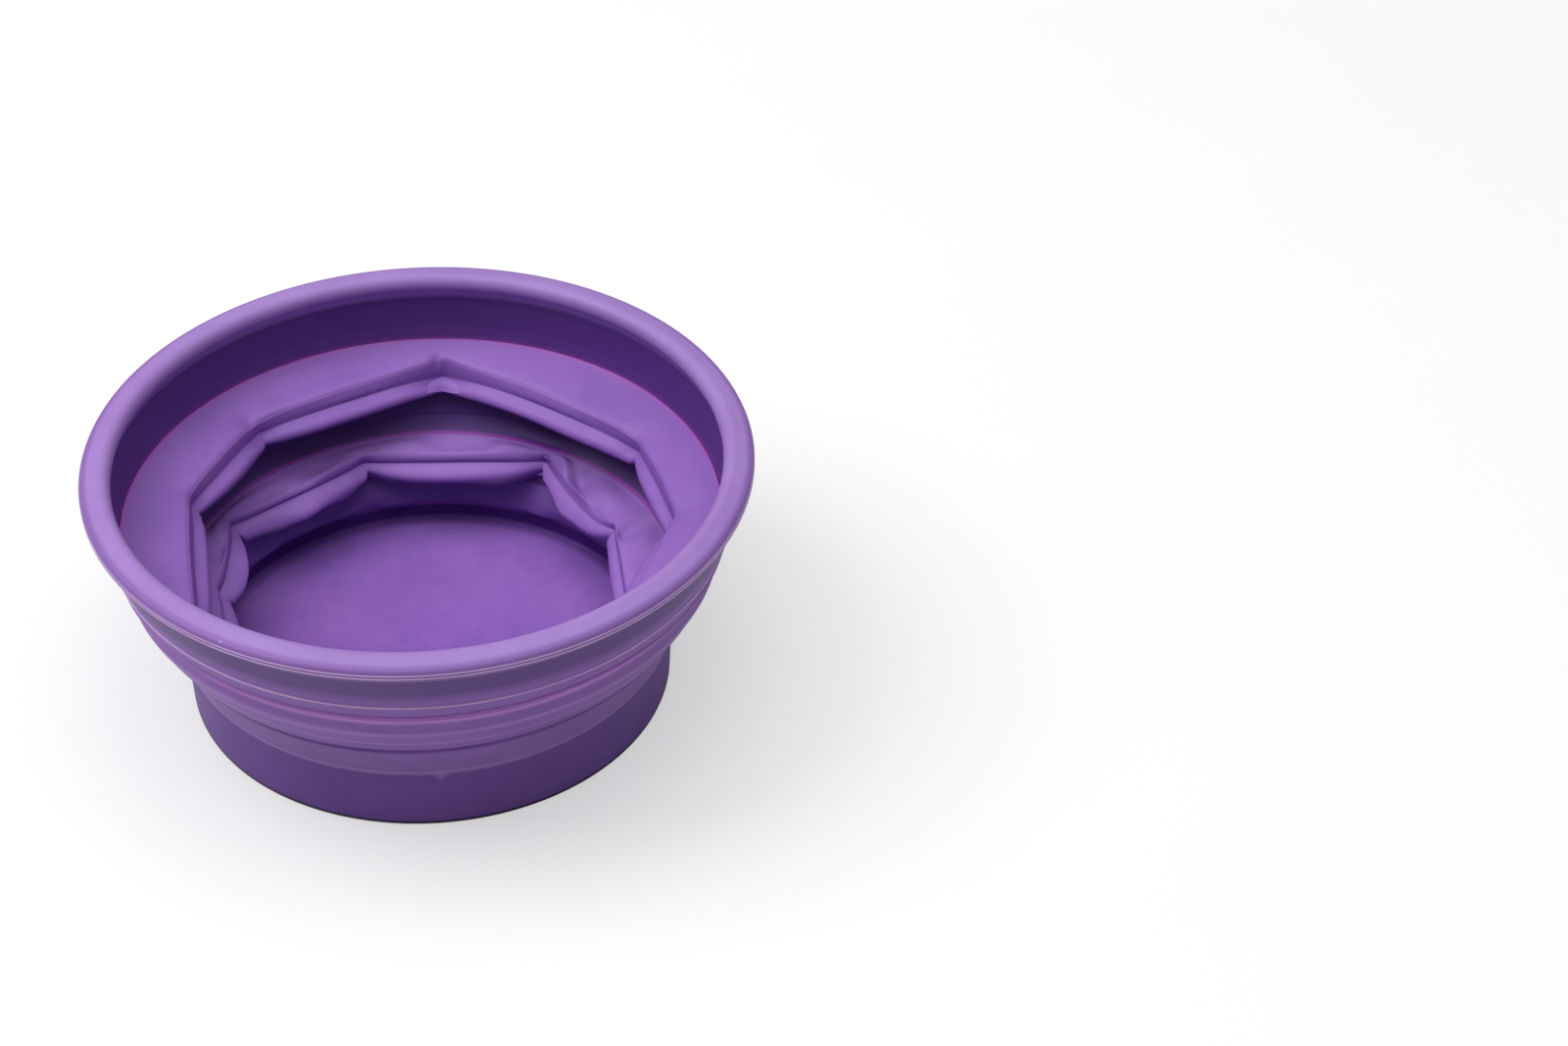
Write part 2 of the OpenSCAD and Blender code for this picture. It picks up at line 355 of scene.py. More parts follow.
# the base body: foot wall, skirt and floor are stretches of one section
footWallForm = {
    "thickness": 2.5,
    "draft": 0.7,
    "round": 0.8,
    "recessEdge": [(-0.3, 0), (0.1, -0.08)],
    "standEdge": [(0.25, 0.1), (0.45, 0)],
    "topEdge": [(-0.05, -0.6), (0, -0.1)],
    "innerStep": 1.9,  # from the outside in to the wall's inner top
    "innerShares": (0.4, 0.8, 0.97),
    "creaseLevel": 7.4,
    "creaseDrop": 0.25,
    # folds inside: angle, width, depth in mm, lean in degrees over the height
    "folds": [
        (103, 4.5, 2.0, 5), (118, 2.5, 1.6, -12), (128, 5.0, 2.6, 8), (143, 4.0, 2.2, -6),
        (156, 5.0, 1.8, 5), (64, 5.0, 2.2, -6), (48, 4.0, 1.8, 8), (36, 3.0, 2.0, -4),
        (82, 6.0, 0.9, 4), (176, 5.0, 1.4, 0), (16, 5.0, 1.4, 3), (206, 6.0, 1.5, 4),
        (246, 6.0, 1.6, -5), (292, 6.0, 1.5, 5), (330, 6.0, 1.5, -4),
    ],
    "foldPower": 0.7,  # below 1 the folds are deepest under the middle
}
skirtBandForm = {
    "thickness": 1.5,
    "ledge": 0.7,
    "edgeStart": [(0.1, 0.15)],
    "edgeRound": [(-0.3, 0.5), (-0.08, 0.66), (0.06, 0.95)],
    "faceRise": 0.9,
    "faceShares": (0.08, 0.3, 0.6, 0.92),
    "backShares": (0.15, 0.5, 0.85, 1),
    "tipRise": 1.1,  # closes the view under the middle band
    "pointAngle": -83.4,  # a small point hangs from the skirt's edge here
    "pointDrop": 1.9,
    "pointWidth": 3.4,  # degrees
    "pointPower": 2.2,
    "rootShare": 0.55,  # of the drop, where the point begins
    "outShare": 0.06,  # of the drop, outwards
}
floorDiscForm = {
    "fillet": 0.9,
    "filletRise": 0.5,
    "edgeStep": 3,
    "rings": (40, 25, 10),
    "middle": 0.02,  # radius of the last ring
    "underRings": (20, 40),
    "underStep": 1.5,
}


def baseSection(foot, skirt, floor):
    # from the inside of the foot ring, out, up the outside and down the inside to the floor
    wallRadius = footRadius - foot["draft"]
    footIn = wallRadius - foot["thickness"]
    s = stepsFrom((footIn, floorLow), foot["recessEdge"]) + stepsFrom((footIn, 0), foot["standEdge"])
    s += arc((wallRadius - foot["round"], foot["round"]), foot["round"], -90, 0)
    marks = {"start": 0, "base": len(s) - 3}
    footCorner = (footRadius, footTop)
    s += between((wallRadius, 0), footCorner, [0.5]) + stepsFrom(footCorner, foot["topEdge"])
    marks["footOut"] = len(s) - 1
    edge = footRadius + skirt["ledge"]
    s += stepsFrom(footCorner, skirt["edgeStart"]) + stepsFrom((edge, footTop), skirt["edgeRound"])
    marks["skirtEdge"] = len(s)
    half = skirt["thickness"] / 2
    tip = (skirtRadius - half, skirtTop + skirt["tipRise"] - half)
    s += between((edge, footTop + skirt["faceRise"]), (skirtRadius, tip[1]), skirt["faceShares"])
    marks["skirtTop"] = len(s) + 2
    s += arc(tip, half, 0, 180, 14)
    inner = (footRadius - foot["innerStep"], footTop)
    s += between((tip[0] - half, tip[1]), inner, skirt["backShares"])
    marks["footIn"] = len(s) - 1
    s += between(inner, (footIn, foot["creaseLevel"]), foot["innerShares"])
    s += [(footIn, foot["creaseLevel"] - foot["creaseDrop"])]
    marks["crease"] = len(s) - 1
    fillet = floor["fillet"]
    s += [(footIn, floorTop + fillet + floor["filletRise"])]
    marks["floorIn"] = len(s) - 1
    s += arc((footIn - fillet, floorTop + fillet), fillet, 0, -90)
    s += [(r, floorTop) for r in (footIn - floor["edgeStep"], *floor["rings"], floor["middle"])]
    marks["end"] = len(s) - 1
    return s, marks


basePath, baseMarks = baseSection(footWallForm, skirtBandForm, floorDiscForm)
basePlace = placesOf(basePath, baseMarks)


def foldedStrip(strip, foot):
    # soft folds hang down the inside of the foot wall
    angles, points, _, run = strip
    rise = np.clip((basePlace["crease"] - run) / (basePlace["crease"] - basePlace["footIn"]), 0, 1)
    arch = np.sin(np.pi * rise ** foot["foldPower"])
    for place, width, depth, lean in foot["folds"]:
        points[..., 0] -= depth * bump(angles[:, None], place + lean * rise, width) * arch
    return angles, points, gridNormals(angles, points), run


def pointedStrip(strip, skirt):
    # the skirt's lower edge hangs down in one small point
    angles, points, normals, run = strip
    near = np.clip(1 - np.abs(turnFrom(angles, skirt["pointAngle"])) / skirt["pointWidth"], 0, 1)
    drop = skirt["pointDrop"] * near ** skirt["pointPower"]
    for row in range(1, baseMarks["skirtEdge"] - baseMarks["footOut"]):
        points[:, row, 1] -= drop * (skirt["rootShare"] if row == 1 else 1)
        points[:, row, 0] += drop * skirt["outShare"]
    return angles, points, normals, run


outerFoot, innerFoot = turnedStrips(
    basePath, baseMarks, ("start", "footOut"), ("footIn", "floorIn"), turns=fineTurns
)
footWall = ringMesh(
    "footWall", [outerFoot, foldedStrip(innerFoot, footWallForm)], "base", ["foot_wall"]
)
plainSkirt = turnedStrips(basePath, baseMarks, ("footOut", "footIn"), turns=fineTurns)[0]
skirtBand = ringMesh(
    "skirtBand", [pointedStrip(plainSkirt, skirtBandForm)], "base", ["skirt_band"]
)
recessEdge = basePath[0][0]
underRadii = [floorDiscForm["middle"], *floorDiscForm["underRings"], recessEdge - floorDiscForm["underStep"]]
underPath = [(r, floorLow) for r in underRadii + [recessEdge]]
floorDisc = ringMesh(
    "floorDisc",
    turnedStrips(basePath, baseMarks, ("floorIn", "end"))
    + turnedStrips(underPath, {"middle": 0, "edge": len(underPath) - 1}, ("middle", "edge")),
    "base", ["floor_disc"],
)

# a web buckles inwards: its ridge runs almost straight from corner to corner
webShape = {
    "thickness": 0.95,
    "softness": {"ridge": 0.6, "swell": 0.8, "sag": 1.2, "groove": 3.0, "reach": 3.0},  # degrees
    "tuckSoft": 0.3,  # degrees
    "sagPower": 0.8,
    "drawPower": 1.5,
    "crispShare": 0.14,  # of the way to the next bend, where a crisp bend's rounding ends
    "rounding": 3,  # times that corners are cut
    "cutShare": 0.25,
    "backCount": 40,  # from here the map's run counts the bends of the hidden side
}


def roundSoft(values, degrees):
    # a soft average round the circle
    n = len(values)
    k = np.minimum(np.arange(n), n - np.arange(n)) * 360 / n
    kernel = np.exp(-0.5 * (k / degrees) ** 2)
    return np.real(np.fft.ifft(np.fft.fft(values) * np.fft.fft(kernel / kernel.sum())))


def sideFields(web, angles):
    # the ridge's radius, and what each side of the polygon asks for along it
    fields = dict.fromkeys(webShape["softness"], 0.0)
    corners = web["corners"]
    for i, (a, ra, _) in enumerate(corners):
        b, rb, _ = corners[(i + 1) % len(corners)]
        width = (b - a) % 360
        x = (np.degrees(angles) - a) % 360
        chord = ra * rb * math.sin(math.radians(width)) / (
            ra * np.sin(np.radians(x)) + rb * np.sin(np.radians(width - x)) + tiny
        )
        arch = np.sin(np.pi * np.clip(x / width, 0, 1))
        bow, sag, groove, reach = web["sides"][i]
        values = {
            "ridge": chord * rimRadius + bow * arch,
            "swell": arch,
            "sag": sag * arch ** webShape["sagPower"],
            "groove": groove,
            "reach": reach,
        }
        for k, value in values.items():
            fields[k] = np.where(x < width, value, fields[k])
    return {k: roundSoft(field, webShape["softness"][k]) for k, field in fields.items()}


def tuckField(web, angles):
    # at a corner one lip is tucked away under its neighbour, on that side only
    total = np.zeros_like(angles)
    for a, _, way in web["corners"]:
        off = turnFrom(angles, a) * way
        total += np.where(off < 0, abs(way) * np.exp(-np.abs(off / way) / web["tuckWidth"]), 0)
    return roundSoft(total, webShape["tuckSoft"])


def rounded(section, times, share):
    # cuts the corners of every section again and again, its ends kept
    for _ in range(times):
        a, b = section[:, :-1], section[:, 1:]
        cut = np.stack([a + (b - a) * share, b + (a - b) * share], 2).reshape(len(section), -1, a.shape[-1])
        section = np.concatenate([section[:, :1], cut[:, 1:-1], section[:, -1:]], 1)
    return section


def webRows(web, angles):
    # one row for each bend: radius, height and the bend's number
    f, tuckHere = sideFields(web, angles), tuckField(web, angles)
    pinch = np.max([bump(angles, a, web["pinchWidth"]) for a, _, _ in web["corners"]], axis=0)
    reach = web["reach"] * f["reach"] * (1 - web["cornerDraw"] * (1 - f["swell"]) ** webShape["drawPower"])
    wave = sum(amount * np.sin(turn * angles + shift) for amount, turn, shift in web["waves"])
    rows, names = [], [bend[0] for bend in web["bends"]]
    for _, anchor, share, past, level, sway, sag, corner, tuck in web["bends"]:
        side, height = web[anchor]
        r = side + (f["ridge"] - side) * share - reach * past + corner[0] * pinch + tuck[0] * tuckHere
        z = height + level + sway * wave + sag * f["sag"] + corner[1] * pinch + tuck[1] * tuckHere
        rows.append(np.stack([r, z, np.full_like(r, len(rows))], -1))
    for label, place, width, out, up in web["dimples"]:
        rows[names.index(label)] += bump(angles, place, width)[:, None] * np.array([out, up, 0])
    k = names.index("groove")
    flat = (rows[k - 1] + rows[k + 1]) / 2
    rows[k] = flat + (rows[k] - flat) * f["groove"][:, None]
    for label in web["crisp"]:
        k, share = names.index(label), webShape["crispShare"]
        before, after = (rows[k] * (1 - share) + rows[j] * share for j in (k - 1, k + 1))
        rows[k:k + 1] = [before, rows[k], after]
        names[k:k + 1] = ["", label, ""]
    return np.stack(rows, 1)


def webPiece(name, web, replaced):
    angles = np.linspace(0, 2 * np.pi, webTurns, endpoint=False)
    grid = rounded(webRows(web, angles), webShape["rounding"], webShape["cutShare"])
    count, front = grid[0, :, 2], grid[..., :2]
    back = (front - sectionNormals(front) * webShape["thickness"])[:, ::-1]
    backRun = webShape["backCount"] + count
    hidden = gridNormals(angles, back)
    points = np.concatenate([front, back, front[:, :1]], 1)
    normals = np.concatenate([gridNormals(angles, front), hidden, hidden[:, -1:]], 1)
    run = np.concatenate([count, backRun[::-1], backRun[-1:]])
    return ringMesh(name, [(angles, points, normals, run)], None, replaced)


def bendPlaces(web):
    # the map's run counts a web's bends
    return {bend[0]: number for number, bend in enumerate(web["bends"])}


# hinge, crease and root: radius and height in mm of the ends that the bends hang from
# corners: angle, ridge radius as a share of the rim's, how far the lip is tucked away there,
# above zero on the side before the corner and below zero on the side after it
# sides: bow in mm, sag in mm, depth of the groove under the ridge, share of the lip's reach
# bends: name, the end it hangs from, share of the way to the ridge, share of the reach past
# it, level over that end, sway, share of the sag, move at a corner, move where a lip is tucked
# dimples: bend, angle, width in degrees, move out and up in mm
# waves: height in mm, how many round the circle, shift; pinch and tuck widths are in degrees
upperWebForm = {
    "corners": [
        (4.5, 0.76, 0.7), (34, 0.765, 0.8), (90, 0.84, 0.001), (137, 0.76, 0.7),
        (168.5, 0.735, 0.7), (216, 0.775, -0.8), (268, 0.81, 1), (318, 0.775, -0.8),
    ],
    "sides": [
        (0.6, 0, 0.4, 0.85), (2.1, 0, 0.4, 1), (0.6, 0, 0.4, 1.08), (0.2, 0, 0.4, 0.95),
        (0.6, 0, 0.4, 1), (0.6, 0, 0.4, 1), (0.6, 0, 0.4, 1), (0.5, 0, 0.4, 1),
    ],
    "reach": 3.8,
    "cornerDraw": 0.3,
    "pinchWidth": 3.2,
    "tuckWidth": 5.0,
    "crisp": ["ridge", "groove"],
    "hinge": (67.5, 44.9),
    "root": (64.75, 35.8),
    "waves": [(0.16, 5, 0.4), (0.12, 9, 2.1), (0.1, 14, 4.0)],
    "bends": [
        ("hinge", "hinge", 0, 0, 0, 0, 0, (0, 0), (0, 0)),
        ("turn", "hinge", 0.06, 0, -0.4, 0.2, 0, (0, 0), (0, 0)),
        ("tread1", "hinge", 0.25, 0, -1.1, 0.6, 0, (0, 0), (0, 0)),
        ("tread2", "hinge", 0.6, 0, -1.9, 1, 0.5, (0, -0.2), (0, 0)),
        ("tread3", "hinge", 0.92, 0, -2.4, 0.8, 0.8, (0, -0.6), (0, 0)),
        ("ridge", "hinge", 1.0, 0.0, -3.4, 0.5, 1, (0, -0.9), (0, 0)),
        ("face", "hinge", 1.0, 0.12, -5.1, 0.3, 1, (0.3, -0.8), (0, 0)),
        ("groove", "hinge", 1.0, 0.04, -6.2, 0.3, 1, (0.7, -1.0), (0.1, 0)),
        ("lip", "hinge", 1.0, 0.48, -6.6, 0.3, 1, (0.5, -1.2), (0.6, 0.1)),
        ("nose", "hinge", 1.0, 0.95, -7.6, 0.4, 1, (0.4, -1.1), (1.5, 0.5)),
        ("under", "hinge", 1.0, 1.04, -9.1, 0.5, 1, (0.3, -0.8), (1.6, 1.2)),
        ("leg1", "root", 1.0, 0.8, -1.2, 0.2, 0.5, (0.3, 0), (0.4, 0.2)),
        ("leg2", "root", 0.6, 0.3, 0.5, 0, 0, (0, 0), (0, 0)),
        ("root", "root", 0.0, 0, 0, 0, 0, (0, 0), (0, 0)),
    ],
    "dimples": [
        ("ridge", 90.0, 1.8, 0, 1.3), ("ridge", 91.2, 0.8, 0.5, -1.1), ("tread3", 91.2, 0.9, 0.3, -1.0),
        ("tread3", 89.0, 2.0, 0, 0.8), ("groove", 90.0, 6.0, 0, -0.9), ("lip", 90.0, 6.0, 0, -1.0),
        ("nose", 90.0, 6.0, 0, -0.9), ("under", 90.0, 6.0, 0, -0.7), ("tread2", 90.0, 3.0, 0, 0.3),
        ("tread2", 118.0, 9.0, 0, -0.5), ("tread2", 60.0, 10.0, 0, 0.4), ("tread2", 152.0, 7.0, 0, -0.4),
        ("leg1", 88.0, 5.0, -0.5, 0), ("leg2", 88.0, 5.0, -1.2, 0.2), ("leg1", 70.0, 6.0, 0.8, 0),
        ("leg1", 150.0, 6.0, -0.9, 0), ("face", 112.0, 9.0, -0.4, 0), ("face", 62.0, 9.0, -0.5, 0),
        ("tread3", 138.5, 1.4, 0, -0.7), ("tread3", 132.0, 3.0, 0, 0.3), ("tread3", 36.0, 1.6, 0, -0.4),
    ],
}
lowerWebForm = {
    "corners": [
        (29, 0.64, -0.9), (63.5, 0.745, -1), (111, 0.703, 0.9), (152.3, 0.72, -0.8),
        (180, 0.638, -0.5), (220, 0.69, 0.8), (268, 0.705, 1), (310, 0.695, -0.8), (342, 0.66, 0.6),
    ],
    "sides": [
        (-0.4, -1.6, 0.1, 0.9), (0.4, 0, 0.8, 1), (0.2, -0.3, 0.8, 1), (-0.3, 0, 0.8, 1.3),
        (0.4, 0, 0.8, 0.9), (1.0, 0, 1, 1), (1.0, 0, 1, 1), (0.6, 0, 1, 0.9), (0.2, 0, 1, 0.65),
    ],
    "reach": 4.1,
    "cornerDraw": 0.25,
    "pinchWidth": 1.8,
    "tuckWidth": 5.5,
    "crisp": ["groove"],
    "hinge": (61.2, 29.2),
    "crease": (56.6, 24.1),
    "root": (57.7, 22.2),
    "waves": [(0.2, 4, 1.0), (0.14, 7, 0.3), (0.12, 13, 2.4)],
    "bends": [
        ("hinge", "hinge", 0, 0, 0, 0, 0, (0, 0), (0, 0)),
        ("turn", "hinge", 0.05, 0, -0.8, 0, 0, (0, 0), (0, 0)),
        ("slope", "crease", -0.3, 0, 1.9, 0, 0, (0, 0), (0, 0)),
        ("ring", "crease", -0.02, 0, 0.35, 0, 0, (0, 0), (0, 0)),
        ("tread1", "crease", 0.06, 0, -0.05, 0, 0, (0, 0), (0, 0)),
        ("tread2", "crease", 0.5, 0, -0.1, 1, 0.4, (0, 0.1), (0, 0)),
        ("tread3", "crease", 0.88, 0, -0.35, 1, 0.8, (0, 0.1), (0, 0)),
        ("ridge", "crease", 1.0, -0.03, -0.9, 0.6, 1, (0, 0.2), (0, 0)),
        ("face", "crease", 1.0, 0.13, -1.8, 0.3, 1, (0.4, 0), (0, 0)),
        ("groove", "crease", 1.0, 0.05, -2.7, 0.3, 1, (0.6, -0.2), (0.1, 0)),
        ("lip", "crease", 1.0, 0.48, -2.9, 0.3, 1, (0.4, -0.3), (0.6, 0.2)),
        ("nose", "crease", 1.0, 0.96, -4.2, 0.4, 1, (0.2, -0.3), (1.9, 1.1)),
        ("under", "crease", 1.0, 1.04, -5.8, 0.4, 1, (0.2, -0.2), (2.0, 2.2)),
        ("leg1", "root", 1.0, 0.8, -5.6, 0.2, 0.4, (0.2, 0), (1.0, 0.6)),
        ("leg2", "root", 0.62, 0.35, -3.5, 0, 0, (0, 0), (0, 0)),
        ("root", "root", 0.0, 0, 0, 0, 0, (0, 0), (0, 0)),
    ],
    "dimples": [
        ("tread2", 51.0, 3.2, 0, -3.2), ("tread2", 58.0, 2.4, 0, 2.0), ("tread2", 41.0, 4.0, 0, 1.4),
        ("tread3", 50.0, 3.4, 0, -1.5), ("tread2", 25.0, 2.2, 0, -1.6), ("tread3", 24.0, 2.2, 0, -1.8),
        ("tread3", 137.0, 6.0, 0, -2.0), ("tread2", 147.0, 4.0, 0, 1.4), ("tread2", 124.0, 4.0, 0, -1.5),
        ("tread3", 166.0, 3.8, 0, -1.9), ("tread2", 166.0, 3.6, 0, -1.9), ("tread2", 172.0, 3.0, 0, 1.0),
        ("tread2", 158.0, 2.2, 0, 1.4), ("tread1", 96.0, 8.0, 0, 0.3), ("tread2", 84.0, 6.0, 0, -1.3),
        ("tread2", 74.0, 4.0, 0, 1.1), ("tread2", 99.0, 4.0, 0, 1.0), ("tread2", 8.0, 5.0, 0, -0.8),
        ("nose", 133.0, 4.0, -1.1, -0.4), ("nose", 125.0, 3.0, 0.3, 0), ("nose", 143.0, 4.0, 0.7, 0.3),
        ("under", 133.0, 4.5, -1.0, -0.8), ("ridge", 131.0, 4.5, 0.2, -0.7),
        ("ridge", 121.0, 4.0, 0, 0.5), ("ridge", 47.0, 4.0, 0.3, 0.8), ("ridge", 38.0, 3.5, 0, -0.7),
        ("under", 52.0, 3.5, -1.0, -0.9), ("nose", 44.0, 4.0, 0.8, 0.4), ("nose", 166.0, 3.0, -0.5, -0.4),
        ("slope", 5.5, 16.0, -1.7, 0), ("slope", 196.0, 14.0, -1.1, 0), ("leg1", 119.0, 4.0, -1.4, 0),
        ("leg1", 111.0, 2.5, 1.4, 0), ("leg1", 141.0, 5.0, -1.4, 0.3), ("leg2", 119.0, 5.0, -0.8, 0.4),
        ("leg1", 74.0, 5.0, -1.2, 0), ("leg1", 64.0, 3.0, 1.0, 0), ("tread3", 63.5, 1.6, 0, -0.5),
        ("tread3", 112.5, 1.8, 0, -0.5), ("ridge", 63.5, 1.2, 0, 0.4),
    ],
}
upperWeb = webPiece("upperWeb", upperWebForm, ["upper_web"])
lowerWeb = webPiece("lowerWeb", lowerWebForm, ["lower_web"])
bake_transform(upperWeb)
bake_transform(lowerWeb)


# node helpers
def feed(tree, socket, value):
    # a number, a colour or another node's output
    if isinstance(value, (int, float)):
        socket.default_value = value
    elif isinstance(value, (list, tuple)):
        socket.default_value = (*value, 1)
    else:
        tree.links.new(value, socket)


def addMath(tree, operation, a, b=None, clamp=False):
    node = tree.nodes.new("ShaderNodeMath")
    node.operation = operation
    node.use_clamp = clamp
    feed(tree, node.inputs[0], a)
    if b is not None:
        feed(tree, node.inputs[1], b)
    return node.outputs[0]


def addNoise(tree, vector, scale, detail=2.0, roughness=0.5):
    node = tree.nodes.new("ShaderNodeTexNoise")
    for label, value in (("Vector", vector), ("Scale", scale), ("Detail", detail), ("Roughness", roughness)):
        feed(tree, node.inputs[label], value)
    return node.outputs["Fac"]


def addMix(tree, factor, a, b):
    node = tree.nodes.new("ShaderNodeMix")
    node.data_type = "RGBA"
    for label, value in (("Factor", factor), ("A", a), ("B", b)):
        feed(tree, node.inputs[label], value)
    return node.outputs["Result"]


# shared looks, as shader node groups
skin = {
    "broadDetail": 3.0,
    "fineDetail": 2.0,
    "broadAmount": 1.4,
    "fineAmount": 0.5,
    "grainDetail": 2.0,
    "grainRoughness": 0.6,
    "grainAmount": 0.35,
    "waveDetail": 1.0,
    "waveAmount": 0.65,
    # the painted light and shade lines are uneven on their way round
    "lineScale": 90.0,  # the creases' unevenness on their way round
    "lineDetail": 3.0,
    "lineAmount": 0.8,
    "lineLeast": 0.6,
}


def nodeGroup(name, inputs, output):
    # inputs are numbers by name; Vector and Around take a place on the surface
    group = bpy.data.node_groups.new(name, "ShaderNodeTree")
    for label, default in inputs.items():
        kind = "NodeSocketVector" if default is None else "NodeSocketFloat"
        item = group.interface.new_socket(label, in_out="INPUT", socket_type=kind)
        if default is not None:
            item.default_value = default
    group.interface.new_socket(output, in_out="OUTPUT", socket_type="NodeSocketFloat")
    return group, group.nodes.new("NodeGroupInput").outputs, group.nodes.new("NodeGroupOutput").inputs[0]


def makeMottle():
    # broad soft blotches and a finer cloud, round zero
    g, given, out = nodeGroup("softMottle", {"Vector": None, "Broad": 40.0, "Fine": 260.0}, "Value")
    broad = addNoise(g, given["Vector"], given["Broad"], skin["broadDetail"])
    fine = addNoise(g, given["Vector"], given["Fine"], skin["fineDetail"])
    parts = [
        addMath(g, "MULTIPLY", addMath(g, "SUBTRACT", noise, 0.5), amount)
        for noise, amount in ((broad, skin["broadAmount"]), (fine, skin["fineAmount"]))
    ]
    g.links.new(addMath(g, "ADD", *parts), out)
    return g


def makeDust():
    # a few pale specks of lint, each much smaller than the cell it lies in
    inputs = {"Vector": None, "Scale": 180.0, "Size": 0.07, "Share": 0.12}
    g, given, out = nodeGroup("fineDust", inputs, "Mask")
    cell = g.nodes.new("ShaderNodeTexVoronoi")
    g.links.new(given["Vector"], cell.inputs["Vector"])
    g.links.new(given["Scale"], cell.inputs["Scale"])
    near = addMath(g, "LESS_THAN", cell.outputs["Distance"], given["Size"])
    split = g.nodes.new("ShaderNodeSeparateColor")
    g.links.new(cell.outputs["Color"], split.inputs[0])
    some = addMath(g, "LESS_THAN", split.outputs[0], given["Share"])
    g.links.new(addMath(g, "MULTIPLY", near, some), out)
    return g


def makeGrain():
    # the fine even grain of a moulded silicone face, with softer waves under it
    g, given, out = nodeGroup("skinGrain", {"Vector": None, "Grain": 2600.0, "Wave": 120.0}, "Height")
    grain = addNoise(g, given["Vector"], given["Grain"], skin["grainDetail"], skin["grainRoughness"])
    wave = addNoise(g, given["Vector"], given["Wave"], skin["waveDetail"])
    parts = [
        addMath(g, "MULTIPLY", noise, amount)
        for noise, amount in ((grain, skin["grainAmount"]), (wave, skin["waveAmount"]))
    ]
    g.links.new(addMath(g, "ADD", *parts), out)
    return g


def makeShade():
    # a broad band of painted shade between two places of a section's run, with soft edges
    inputs = {"Run": 0.0, "From": 0.0, "To": 1.0, "Soft": 0.5}
    g, given, out = nodeGroup("shadeBand", inputs, "Mask")
    edges = []
    for end, sign in (("From", 1.0), ("To", -1.0)):
        past = addMath(g, "MULTIPLY", addMath(g, "SUBTRACT", given["Run"], given[end]), sign)
        edges.append(addMath(g, "ADD", addMath(g, "DIVIDE", past, given["Soft"]), 0.5, True))
    g.links.new(addMath(g, "MULTIPLY", *edges), out)
    return g


def makeLightAndShadeLine():
    # a soft line of painted light or shade at one place along a section's run, a little uneven on its way
    # round
    inputs = {"Run": 0.0, "Around": None, "Place": 0.0, "Width": 0.5}
    g, given, out = nodeGroup("lightAndShadeLine", inputs, "Mask")
    off = addMath(g, "DIVIDE", addMath(g, "SUBTRACT", given["Run"], given["Place"]), given["Width"])
    bell = addMath(g, "EXPONENT", addMath(g, "MULTIPLY", addMath(g, "MULTIPLY", off, off), -1.0))
    noise = addNoise(g, given["Around"], skin["lineScale"], skin["lineDetail"])
    uneven = addMath(g, "ADD", addMath(g, "MULTIPLY", noise, skin["lineAmount"]), skin["lineLeast"])
    g.links.new(addMath(g, "MULTIPLY", bell, uneven, True), out)
    return g


groups = {
    "mottle": makeMottle(),
    "dust": makeDust(),
    "grain": makeGrain(),
    "shade": makeShade(),
    "crease": makeLightAndShadeLine(),
}
print("node groups ready")


def linear(rgb):
    # from sRGB in 255ths to the light that it stands for
    return [((v / 255 + 0.055) / 1.055) ** 2.4 if v > 10 else v / 255 / 12.92 for v in rgb]


def siliconeMaterial(name, look):
    m = bpy.data.materials.new(name)
    m.use_nodes = True
    t = m.node_tree
    shader = t.nodes["Principled BSDF"]

    def use(key, **values):
        node = t.nodes.new("ShaderNodeGroup")
        node.node_tree = groups[key]
        for label, value in values.items():
            feed(t, node.inputs[label], value)
        return node.outputs[0]

    def tinted(colour, mask, strength, tint):
        return addMix(t, addMath(t, "MULTIPLY", mask, strength, True), colour, linear(tint))

    place = t.nodes.new("ShaderNodeTexCoord").outputs["Object"]
    broad = look["mottleScale"]
    mottle = use("mottle", Vector=place, Broad=broad, Fine=broad * look["mottleFineness"])
    tone = addMath(t, "ADD", addMath(t, "MULTIPLY", mottle, look["mottle"]), 0.5, True)
    colour = addMix(t, tone, linear(look["deep"]), linear(look["pale"]))
    wall = t.nodes.new("ShaderNodeUVMap")
    wall.uv_map = "wallMap"
    split = t.nodes.new("ShaderNodeSeparateXYZ")
    t.links.new(wall.outputs[0], split.inputs[0])
    run = split.outputs["Y"]
    # bands of painted shade
    for first, last, soft, strength, tint in look["shades"]:
        colour = tinted(colour, use("shade", Run=run, From=first, To=last, Soft=soft), strength, tint)
    # lines of painted highlight, painted pink light and painted shade
    for where, width, strength, tint in look["creases"]:
        mask = use("crease", Run=run, Around=place, Place=where, Width=width)
        colour = tinted(colour, mask, strength, tint)
    dust = use("dust", Vector=place, Scale=look["dustScale"], Size=look["dustSize"], Share=look["dustShare"])
    colour = tinted(colour, dust, look["dustStrength"], look["dustTint"])
    t.links.new(colour, shader.inputs["Base Color"])
    rough = addMath(t, "ADD", addMath(t, "MULTIPLY", mottle, look["roughnessSwing"]), look["roughness"], True)
    t.links.new(rough, shader.inputs["Roughness"])
    shader.inputs["Specular IOR Level"].default_value = look["specular"]
    relief = t.nodes.new("ShaderNodeBump")
    relief.inputs["Strength"].default_value = look["grain"]
    relief.inputs["Distance"].default_value = look["grainDepth"]
    t.links.new(use("grain", Vector=place), relief.inputs["Height"])
    t.links.new(relief.outputs[0], shader.inputs["Normal"])
    return m
